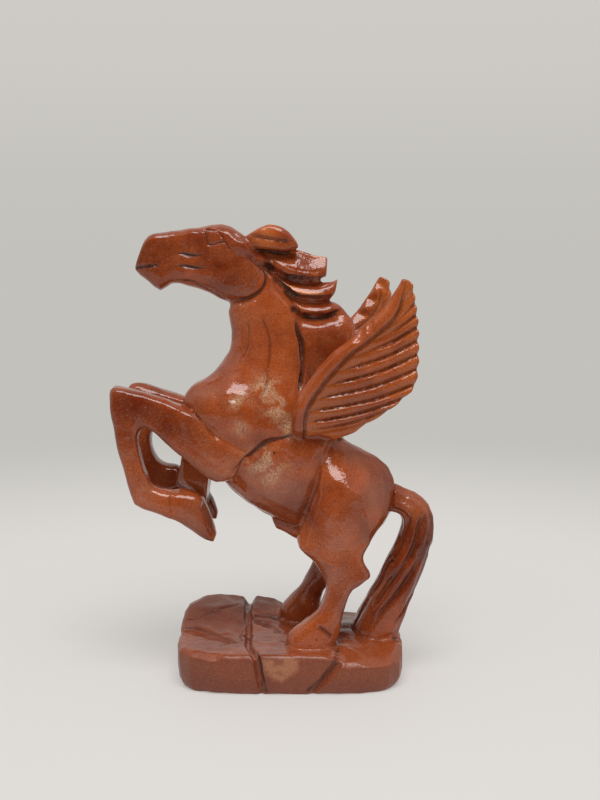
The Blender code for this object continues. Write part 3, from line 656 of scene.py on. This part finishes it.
def feather_lines(advance):
    """The lines between the feathers, from the root to the tip of a wing, and the back of its bar."""
    shares = np.arange(FEATHERS + 1) / FEATHERS
    bar = smooth_curve(WING_BAR_BACK, CURVE_STEP)
    roots = at_shares(bar, shares**BAR_CROWDING)
    tips = at_shares(smooth_curve(WING_TRAILING, CURVE_STEP), shares**EDGE_CROWDING)
    lines = []
    for root, tip in zip(roots, tips):
        run = tip - root
        bow = np.array((run[1], -run[0])) * FEATHER_BOW
        via = [root + along * run + out * bow for along, out in FEATHER_VIA]
        lines.append(smooth_curve((root, *via, tip), CURVE_STEP) - (advance, 0))
    return lines, bar - (advance, 0)


def beside(flat, line):
    """How far flat points lie from a line, positive on its left."""
    away = np.linalg.norm(flat[:, None] - line[None], axis=2)
    nearest = np.clip(away.argmin(1), 0, len(line) - 2)
    run = line[nearest + 1] - line[nearest]
    off = flat - line[nearest]
    left = run[:, 0] * off[:, 1] - run[:, 1] * off[:, 0]
    return np.copysign(away.min(1), left)


def carve_wing(skin, owners, solids, wing, side, advance):
    """Feathers as rounded ridges with a line between them, behind a smooth bar."""
    chosen = np.flatnonzero(solids.among(owners, wing))
    flat = skin.points[chosen][:, (0, 2)]
    lines, bar = feather_lines(advance)
    beyond = np.stack([beside(flat, line) for line in lines])
    feather = (beyond > 0).sum(0) - 1
    inside = (feather >= 0) & (feather < FEATHERS)
    lower = beyond[np.clip(feather, 0, FEATHERS), np.arange(len(flat))]
    upper = -beyond[np.clip(feather + 1, 0, FEATHERS), np.arange(len(flat))]
    share = np.clip(lower / np.maximum(lower + upper, 1e-6), 0, 1)
    room = np.clip((lower + upper) / FEATHER_ROOM, 0, 1)
    ridge = np.where(inside, FEATHER_RIDGE * np.abs(2 * share - 1) ** FEATHER_CURVE, 0)
    groove = FEATHER_GROOVE * np.clip(1 - np.abs(beyond).min(0) / (FEATHER_GROOVE_WIDTH / 2), 0, 1)
    behind = -beside(flat, bar)
    above_root = np.clip((flat[:, 1] - bar[0, 1]) / ROOT_FADE, 0, 1)
    vane = np.clip(behind / VANE_START, 0, 1) * room * above_root
    below_tip = np.clip((bar[-1, 1] - flat[:, 1]) / TIP_FADE, 0, 1)
    along_bar = BAR_GROOVE * below_tip * np.clip(1 - np.abs(behind) / (BAR_GROOVE_WIDTH / 2), 0, 1)
    outward = np.clip(side * skin.normals()[chosen][:, 1] * FACING_GAIN, 0, 1)
    depth = np.zeros(len(skin.points))
    cut = np.maximum((ridge + groove) * vane, along_bar)
    depth[chosen] = cut * (EDGE_SCALLOP + (1 - EDGE_SCALLOP) * outward)
    skin.sink(depth)
    # Painted shade in the lines between the feathers and along the bar.
    painted_groove_shade = FEATHER_SHADE * np.maximum(groove * vane / FEATHER_GROOVE, along_bar / BAR_GROOVE)
    skin.cut[chosen] = np.maximum(skin.cut[chosen], painted_groove_shade)


def unevenness(points):
    """A faint waviness, the sum of waves in fixed directions."""
    draw = np.random.default_rng(SEED)
    height = np.zeros(len(points))
    for _ in range(WAVES):
        direction = draw.normal(size=3)
        direction *= 2 * math.pi / draw.uniform(*WAVE_LENGTHS) / np.linalg.norm(direction)
        height += np.sin(points @ direction + draw.uniform(0, 2 * math.pi))
    return WAVE_HEIGHT * height / math.sqrt(WAVES / 2)


def face_owners(skin, owners, count):
    """Which solid each square belongs to, with ragged borders evened out."""
    votes = np.zeros((len(skin.points), count))
    votes[np.arange(len(owners)), owners] = 1
    for _ in range(BORDER_SMOOTHING):
        votes = (votes + skin.around(votes)) / 2
    return votes[skin.quads].sum(1).argmax(1)


def buried(place, tree):
    """The place itself if it lies well under the surface, or else the nearest place that does."""
    near, outward, _, _ = tree.find_nearest(place / MM)
    if (place / MM - near).dot(outward) < -BURIED:
        return place
    return (near - BURIED * outward) * MM


def comes_out(edge, tree):
    """Whether an edge of a cap comes near the surface."""
    start, end = (v.co for v in edge.verts)
    places = [start.lerp(end, share) for share in CAP_SAMPLES]
    return any(buried(place, tree) is not place for place in places)


def bury(shape, caps, tree):
    """Splits the caps of a piece where they would come out of the stone, and draws them in there."""
    for face in caps:
        face.material_index = CAP
    for _ in range(CAP_SPLITS):
        edges = dict.fromkeys(e for f in shape.faces if f.material_index == CAP for e in f.edges)
        inner = [e for e in edges if all(f.material_index == CAP for f in e.link_faces)]
        shallow = [e for e in inner if e.calc_length() > CAP_EDGE * MM and comes_out(e, tree)]
        for vert in bmesh.ops.subdivide_edges(shape, edges=shallow, cuts=1)["geom_inner"]:
            if isinstance(vert, bmesh.types.BMVert):
                vert.co = buried(vert.co, tree)
        bmesh.ops.triangulate(shape, faces=[f for f in shape.faces if f.material_index == CAP])
    for face in shape.faces:
        face.material_index = 0


def closed_piece(name, skin, normals, walls, tree, quads):
    """One piece of the skin, closed by a wall under its border and a cap in the middle of the stone."""
    used, corners = np.unique(quads, return_inverse=True)
    mesh = bpy.data.meshes.new(name)
    mesh.from_pydata(skin.points[used] * MM, [], corners.reshape(-1, 4))
    shape = bmesh.new()
    shape.from_mesh(mesh)
    shape.verts.ensure_lookup_table()
    border = [e for e in shape.edges if e.is_boundary]
    if border:
        grown = bmesh.ops.extrude_edge_only(shape, edges=border)["geom"]
        inner = [v for v in grown if isinstance(v, bmesh.types.BMVert)]
        inside = set(inner)
        shape.verts.index_update()
        joined = [[e.other_vert(v) for e in v.link_edges] for v in inner]
        over = [next(v for v in others if v not in inside) for others in joined]
        around = used[[v.index for v in over]]
        for vert, place in zip(inner, skin.points[around] - normals[around] * walls[around, None]):
            vert.co = buried(Vector(place * MM), tree)
        rims = [e for e in shape.edges if e.is_boundary]
        caps = bmesh.ops.holes_fill(shape, edges=rims, sides=0)["faces"]
        bury(shape, bmesh.ops.triangulate(shape, faces=caps)["faces"], tree)
        bmesh.ops.recalc_face_normals(shape, faces=shape.faces)
        shape.faces.ensure_lookup_table()
        first = shape.faces[0]
        if first.normal.dot(Vector(normals[used[first.verts[0].index]])) < 0:
            bmesh.ops.reverse_faces(shape, faces=shape.faces)
    shape.to_mesh(mesh)
    shape.free()
    mesh.polygons.foreach_set("use_smooth", np.arange(len(mesh.polygons)) < len(quads))
    directions = np.zeros((len(mesh.vertices), 3))
    directions[:len(used)] = normals[used]
    mesh.normals_split_custom_set_from_vertices(directions)
    inner_walls = np.zeros(len(mesh.vertices) - len(used))
    places = skin.points[used]
    tints = {
        # Painted shade in the grooves.
        "cut": skin.cut[used],
        "pale": patchiness(places, PALE_PATCHES),
        # A deeper red, partly painted shade.
        "deep_red_and_shade": patchiness(places, DEEP_RED_AND_SHADE_PATCHES),
        # Painted reflection of the pale floor.
        "painted_reflection": patchiness(places, PAINTED_REFLECTION_PATCHES),
        "chip": on_chip(places),
        # Painted glow where the stone is thin.
        "painted_glow": np.maximum(skin.painted_glow[used], patchiness(places, PAINTED_GLOW_PATCHES)),
        "dull": skin.dull[used],
    }
    for tint, values in tints.items():
        layer = mesh.attributes.new(tint, "FLOAT", "POINT")
        layer.data.foreach_set("value", np.concatenate((values, inner_walls)).astype(np.float32))
    return mesh


def patchiness(points, patches):
    """How much the patches tint the stone at each point."""
    total = np.zeros(len(points))
    for place, radius, strength in patches:
        away = np.linalg.norm(unfolded(points) - place, axis=1)
        total = np.maximum(total, strength * np.exp(-((away / radius) ** 2)))
    return total


def on_chip(points):
    """1 on the pale chip in the front of the rock, 0 off it."""
    inside = np.where(points[:, 1] < CHIP_FRONT, np.inf, -np.inf)
    for a, b in zip(np.array(CHIP), np.array(CHIP[1:] + CHIP[:1])):
        run = (b - a) / np.linalg.norm(b - a)
        off = points[:, (0, 2)] - a
        inside = np.minimum(inside, run[1] * off[:, 0] - run[0] * off[:, 1])
    return np.clip(inside / CHIP_EDGE + 0.5, 0, 1)


def carved_skin(solids):
    """The polished and carved skin of all solids, and the solid that each of its points belongs to."""
    skin = voxel_skin(solids.mesh, CLOSING)
    skin.polish(POLISH_ROUNDS)
    owners = solids.owners_of(skin)
    round_members = solids.among(owners, ROUND_MEMBERS).astype(float)
    skin.polish(ROUND_POLISH, skin.around(round_members)[:, None])
    web = solids.among(owners, FAR_FORELEG) * patchiness(skin.points, WEB_SPOTS)
    skin.polish(WEB_RUB, web[:, None], 0)
    skin.sink(np.full(len(skin.points), CLOSING))
    carve(skin, solids, DEEP_GROOVES)
    rough = skin
    skin = voxel_skin(skin.mesh("cut_skin"), 0)
    rough_tree = point_tree(rough.points)
    # The painted shade of the grooves is carried over to the new skin.
    skin.cut = rough.cut[[rough_tree.find(p)[1] for p in skin.points]]
    skin.polish(FINISH_ROUNDS)
    skin.sink(-unevenness(skin.points))
    owners = solids.owners_of(skin)
    for muscle in SWELLS:
        swell(skin, muscle)
    for facet in FACETS:
        flatten(skin, owners, solids, facet)
    carve(skin, solids, FINE_GROOVES)
    carve_wing(skin, owners, solids, NEAR_WING, NEAR, 0)
    carve_wing(skin, owners, solids, FAR_WING, FAR, FAR_WING_ADVANCE)
    for roof in LEANS:
        lean(skin, owners, solids, roof)
    low, high = (np.array(corner) / MM for corner in CAD_BOX)
    skin.points = np.clip(skin.points, low, high)
    return skin, owners


def add(tree, kind, inputs, settings=()):
    """A node with its inputs set to values or linked to sockets."""
    node = tree.nodes.new(kind)
    for name, value in dict(settings).items():
        setattr(node, name, value)
    for name, value in inputs.items():
        if isinstance(value, bpy.types.NodeSocket):
            tree.links.new(value, node.inputs[name])
        else:
            node.inputs[name].default_value = value
    return node


def new_material(name):
    """A material, with its node tree and its shader."""
    material = bpy.data.materials.new(name)
    material.use_nodes = True
    return material, material.node_tree, material.node_tree.nodes["Principled BSDF"]


def noise(tree, place, size, detail, distortion=0.0):
    """Cloudy noise whose clouds are about that many millimetres across."""
    return add(tree, "ShaderNodeTexNoise", {
        "Vector": place, "Scale": 1 / (size * MM), "Detail": detail, "Distortion": distortion,
    }).outputs["Fac"]


def ranged(tree, value, low, high, to_low=0.0, to_high=1.0):
    """A value brought from one range to another, smoothly and no further."""
    return add(tree, "ShaderNodeMapRange", {
        "Value": value, "From Min": low, "From Max": high, "To Min": to_low, "To Max": to_high,
    }, {"interpolation_type": "SMOOTHSTEP"}).outputs["Result"]


def clouds(tree, place, cloud):
    """A cloudy texture as shares."""
    raw = noise(tree, place, cloud.size, cloud.detail, cloud.bend)
    return ranged(tree, raw, cloud.low, cloud.high, cloud.to_low, cloud.to_high)


def specks(tree, place, speck):
    """Scattered specks as shares, by the distance to the nearest of their middles."""
    scattered = add(tree, "ShaderNodeTexVoronoi", {"Vector": place, "Scale": 1 / (speck.spacing * MM)})
    return ranged(tree, scattered.outputs["Distance"], speck.full, speck.end, speck.strength, 0)


def math_of(tree, operation, a, b):
    return add(tree, "ShaderNodeMath", {0: a, 1: b}, {"operation": operation}).outputs[0]


def blend(tree, share, a, b, mode="MIX"):
    """Two colours mixed. Their sockets are the colour ones of a node that also mixes numbers."""
    return add(tree, "ShaderNodeMix", {0: share, 6: a, 7: b}, {
        "data_type": "RGBA", "blend_type": mode,
    }).outputs[2]


def attribute(tree, name):
    return add(tree, "ShaderNodeAttribute", {}, {"attribute_name": name}).outputs["Fac"]


def aventurine():
    """Polished red aventurine: cloudy red-brown to orange, tan veins, fine grain, flecks and pits, with
    painted shade in grooves and hollows, a painted glow where thin, a painted reflection and painted
    glints.
    """
    material, tree, shader = new_material("aventurine")
    place = tree.nodes.new("ShaderNodeTexCoord").outputs["Object"]
    cut, pale, deep_red_and_shade, painted_reflection, chip, painted_glow, dull = (
        attribute(tree, name) for name in ("cut", "pale", "deep_red_and_shade", "painted_reflection", "chip", "painted_glow", "dull")
    )
    colour = blend(tree, clouds(tree, place, TONES), RED_BROWN, ORANGE)
    mottle = clouds(tree, place, MOTTLE)
    # A deeper red, partly the stone's own tone and partly painted shade.
    colour = blend(tree, math_of(tree, "MULTIPLY", deep_red_and_shade, mottle), colour, DEEP_RED_AND_SHADE)
    # Painted glow where the stone is thin.
    colour = blend(tree, ranged(tree, painted_glow, *PAINTED_GLOW_RANGE), colour, PAINTED_GLOW)
    # Painted reflection: hazy patches where the pale floor would be mirrored.
    colour = blend(tree, math_of(tree, "MULTIPLY", painted_reflection, mottle), colour, PAINTED_REFLECTION)
    streaks = clouds(tree, place, STREAKS)
    veins = math_of(tree, "MULTIPLY", streaks, ranged(tree, pale, *PALE_RANGE, VEIN_SHARE, 1.0))
    colour = blend(tree, math_of(tree, "MULTIPLY", veins, clouds(tree, place, CRUMBS)), colour, TAN)
    colour = blend(tree, math_of(tree, "MULTIPLY", dull, ROCK_SHARE), colour, ROCK_BROWN)
    chipped = math_of(tree, "MULTIPLY", chip, clouds(tree, place, FLAKES))
    colour = blend(tree, chipped, colour, CHIP_COLOUR)
    colour = blend(tree, 1.0, colour, clouds(tree, place, GRAIN), "MULTIPLY")
    # Pale flecks, partly painted glints.
    colour = blend(tree, specks(tree, place, FLECKS_AND_GLINTS), colour, PALE_FLECK_AND_GLINT)
    colour = blend(tree, specks(tree, place, PEPPERING), colour, PEPPER)
    colour = blend(tree, specks(tree, place, PITS), colour, PIT_AND_GROOVE_SHADE)
    # Painted shade: the grooves are darkened towards the colour of the pits.
    colour = blend(tree, ranged(tree, cut, 0, 1, 0, GROOVE_SHADE_SHARE), colour, PIT_AND_GROOVE_SHADE)
    tree.links.new(colour, shader.inputs["Base Color"])
    gloss = clouds(tree, place, GLOSS)
    gloss = math_of(tree, "MAXIMUM", gloss, ranged(tree, dull, 0, 1, 0, DULL_ROUGHNESS))
    gloss = math_of(tree, "MAXIMUM", gloss, ranged(tree, cut, *CUT_RANGE, 0, CUT_ROUGHNESS))
    tree.links.new(gloss, shader.inputs["Roughness"])
    ripples = add(tree, "ShaderNodeBump", {
        "Height": noise(tree, place, *RIPPLES), "Distance": RIPPLE_HEIGHT * MM,
    })
    grit = add(tree, "ShaderNodeBump", {
        "Height": noise(tree, place, *GRIT), "Distance": GRIT_HEIGHT * MM, "Normal": ripples.outputs[0],
    })
    tree.links.new(grit.outputs[0], shader.inputs["Normal"])
    return material


def softbox(name, place, target, size, power):
    """A rectangular lamp that faces its target."""
    lamp = bpy.data.lights.new(name, "AREA")
    lamp.shape = "RECTANGLE"
    lamp.size, lamp.size_y = size
    lamp.energy = power
    holder = placed(name, lamp)
    holder.location = place
    holder.rotation_euler = (Vector(target) - Vector(place)).to_track_quat("-Z", "Y").to_euler()


def seen(tree):
    """1 for rays that show the background: those of the camera, of gloss and of glass."""
    path = tree.nodes.new("ShaderNodeLightPath").outputs
    shown = math_of(tree, "MAXIMUM", path["Is Camera Ray"], path["Is Glossy Ray"])
    return math_of(tree, "MAXIMUM", shown, path["Is Transmission Ray"])


def stage_plane(name, corners, material):
    mesh = bpy.data.meshes.new(name)
    mesh.from_pydata(corners, [], [(0, 1, 2, 3)])
    mesh.materials.append(material)
    plane = placed(name, mesh)


def pale_floor():
    """A matt floor that runs out into the colour of the background."""
    material, tree, shader = new_material("pale_floor")
    shader.inputs["Base Color"].default_value = FLOOR
    shader.inputs["Roughness"].default_value = FLOOR_ROUGHNESS
    shader.inputs["Specular IOR Level"].default_value = FLOOR_SHEEN
    place = tree.nodes.new("ShaderNodeTexCoord").outputs["Object"]
    reach = add(tree, "ShaderNodeVectorMath", {0: place}, {"operation": "LENGTH"}).outputs["Value"]
    glow = add(tree, "ShaderNodeEmission", {
        "Color": blend(tree, ranged(tree, reach, *FADE_TO_HORIZON), FLOOR_FAR, HORIZON),
    })
    mixed = add(tree, "ShaderNodeMixShader", {
        0: ranged(tree, reach, *FADE_FROM_OBJECT), 1: shader.outputs[0], 2: glow.outputs[0],
    })
    tree.links.new(mixed.outputs[0], tree.nodes["Material Output"].inputs["Surface"])
    return material


def dark_curtain():
    """The unlit room behind the camera, which only the polish mirrors."""
    material, tree, shader = new_material("dark_curtain")
    shader.inputs["Base Color"].default_value = CURTAIN
    shader.inputs["Roughness"].default_value = CURTAIN_ROUGHNESS
    clear = tree.nodes.new("ShaderNodeBsdfTransparent")
    path = tree.nodes.new("ShaderNodeLightPath").outputs
    mixed = add(tree, "ShaderNodeMixShader", {
        0: path["Is Glossy Ray"], 1: clear.outputs[0], 2: shader.outputs[0],
    })
    tree.links.new(mixed.outputs[0], tree.nodes["Material Output"].inputs["Surface"])
    return material


def pale_world():
    """The backdrop that is seen, and the ambient light that matt surfaces get."""
    world = bpy.data.worlds.new("studio")
    world.use_nodes = True
    tree = world.node_tree
    direction = tree.nodes.new("ShaderNodeTexCoord").outputs["Generated"]
    height = add(tree, "ShaderNodeSeparateXYZ", {0: direction}).outputs["Z"]
    backdrop = blend(tree, ranged(tree, height, 0, BACKDROP_RISE), HORIZON, BACKDROP_TOP)
    ambient = add(tree, "ShaderNodeBackground", {"Color": AMBIENT, "Strength": AMBIENT_STRENGTH})
    shown = add(tree, "ShaderNodeBackground", {"Color": backdrop, "Strength": 1.0})
    mixed = add(tree, "ShaderNodeMixShader", {0: seen(tree), 1: ambient.outputs[0], 2: shown.outputs[0]})
    tree.links.new(mixed.outputs[0], tree.nodes["World Output"].inputs["Surface"])
    bpy.context.scene.world = world


def studio():
    """The floor, the curtain, the lamp and the backdrop."""
    reach = FLOOR_REACH
    floor = [(-reach, -reach, 0), (reach, -reach, 0), (reach, reach, 0), (-reach, reach, 0)]
    stage_plane("floor", floor, pale_floor())
    width, top, away = CURTAIN_SIZE
    curtain = [(-width, -away, 0), (-width, -away, top), (width, -away, top), (width, -away, 0)]
    stage_plane("curtain", curtain, dark_curtain())
    softbox("top_softbox", SOFTBOX_PLACE, SOFTBOX_TARGET, SOFTBOX_SIZE, SOFTBOX_POWER)
    pale_world()


def camera():
    """The camera at the photo's angle."""
    lens = bpy.data.cameras.new("photo_view")
    lens.lens = LENS
    lens.sensor_width = SENSOR
    holder = placed("photo_view", lens)
    holder.location = CAMERA_PLACE
    holder.rotation_euler = (math.radians(90 - CAMERA_TILT), 0, 0)
    bpy.context.scene.camera = holder


def main():
    solids = Solids()
    skin, owners = carved_skin(solids)
    normals = skin.normals()
    tree = BVHTree.FromPolygons(skin.points, skin.quads)
    thickness = skin.thickness(normals, tree)
    walls = SEAM_WALL * np.minimum(thickness, skin.evened(thickness, WALL_SMOOTHING))
    # Painted glow: thin stone is coloured a lighter, glowing orange.
    skin.painted_glow = skin.evened(np.exp(-thickness / LIGHT_REACH), THIN_SMOOTHING)
    dullness = np.clip(ROCK_DULLNESS - ROCK_TOP_POLISH * normals[:, 2], 0, 1)
    skin.dull = solids.among(owners, ROCK) * dullness
    faces = face_owners(skin, owners, len(solids.names))
    stone = aventurine()
    for index, name in enumerate(solids.names):
        mesh = closed_piece("carved_" + name, skin, normals, walls, tree, skin.quads[faces == index])
        mesh.materials.append(stone)
        piece = placed("carved_" + name, mesh)
        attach(piece, "root")
        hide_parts(name)
    studio()
    camera()
    bpy.context.scene.view_settings.view_transform = "Standard"


main()
bpy.context.view_layer.update()
